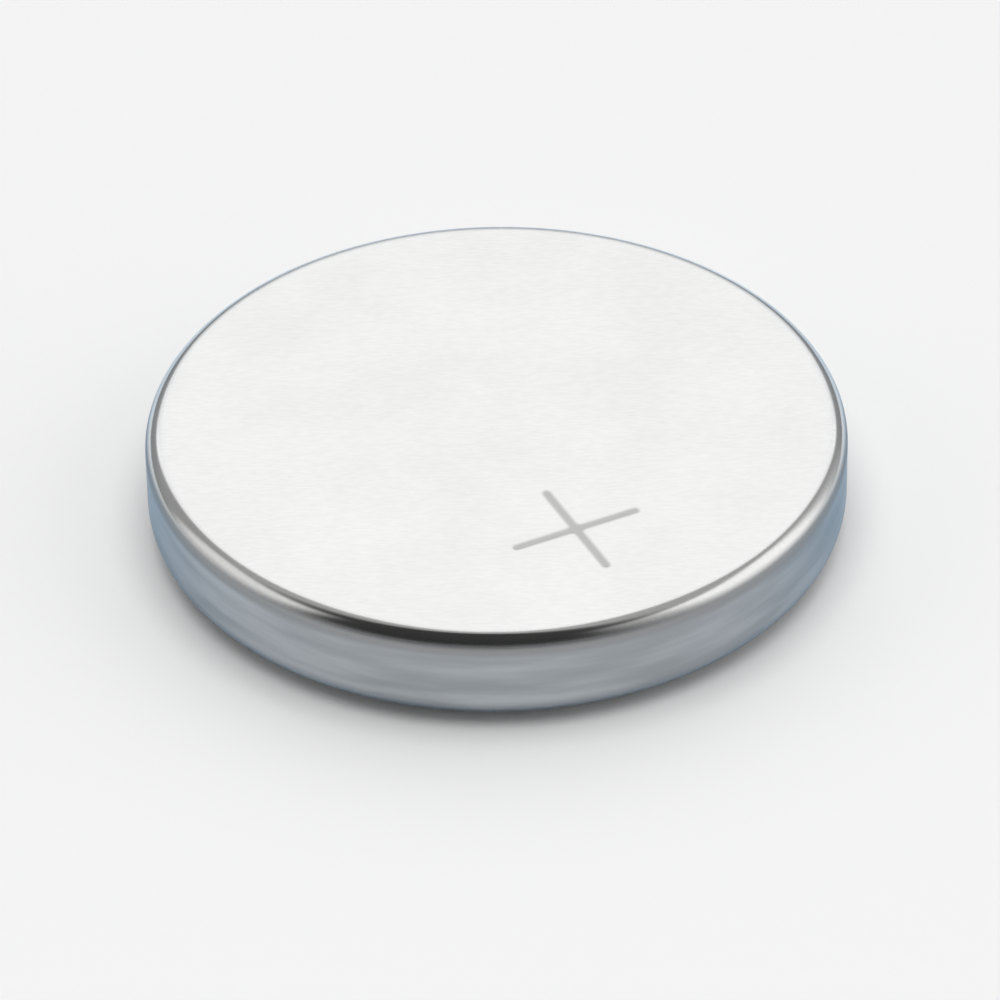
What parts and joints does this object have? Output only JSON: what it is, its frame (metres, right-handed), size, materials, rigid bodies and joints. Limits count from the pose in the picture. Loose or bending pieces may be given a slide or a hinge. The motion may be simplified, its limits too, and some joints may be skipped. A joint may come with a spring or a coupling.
{
  "type": "lithium coin cell",
  "caption": "Flat round lithium coin cell: a steel can rolled in over a seal and a stepped steel cap, with its electrodes inside.",
  "frame": {"origin": "middle of the flat negative contact face, which the cell stands on", "axes": "+Z along the cell's axis, from the negative contact to the positive face"},
  "size_m": [0.01, 0.01, 0.0016],
  "materials": {
    "can_steel": "satin nickel plate",
    "cap_steel": "satin",
    "seal_plastic": "matte",
    "lithium_metal": "dull",
    "separator_felt": "non-woven",
    "manganese_dioxide": "pressed powder",
    "collector_mesh": "plain"
  },
  "bodies": {
    "root": {"positive_can": "can_steel", "negative_cap": "cap_steel", "gasket": "seal_plastic", "lithium_anode": "lithium_metal", "separator": "separator_felt", "cathode_pellet": "manganese_dioxide", "current_collector": "collector_mesh"}
  },
  "joints": []
}
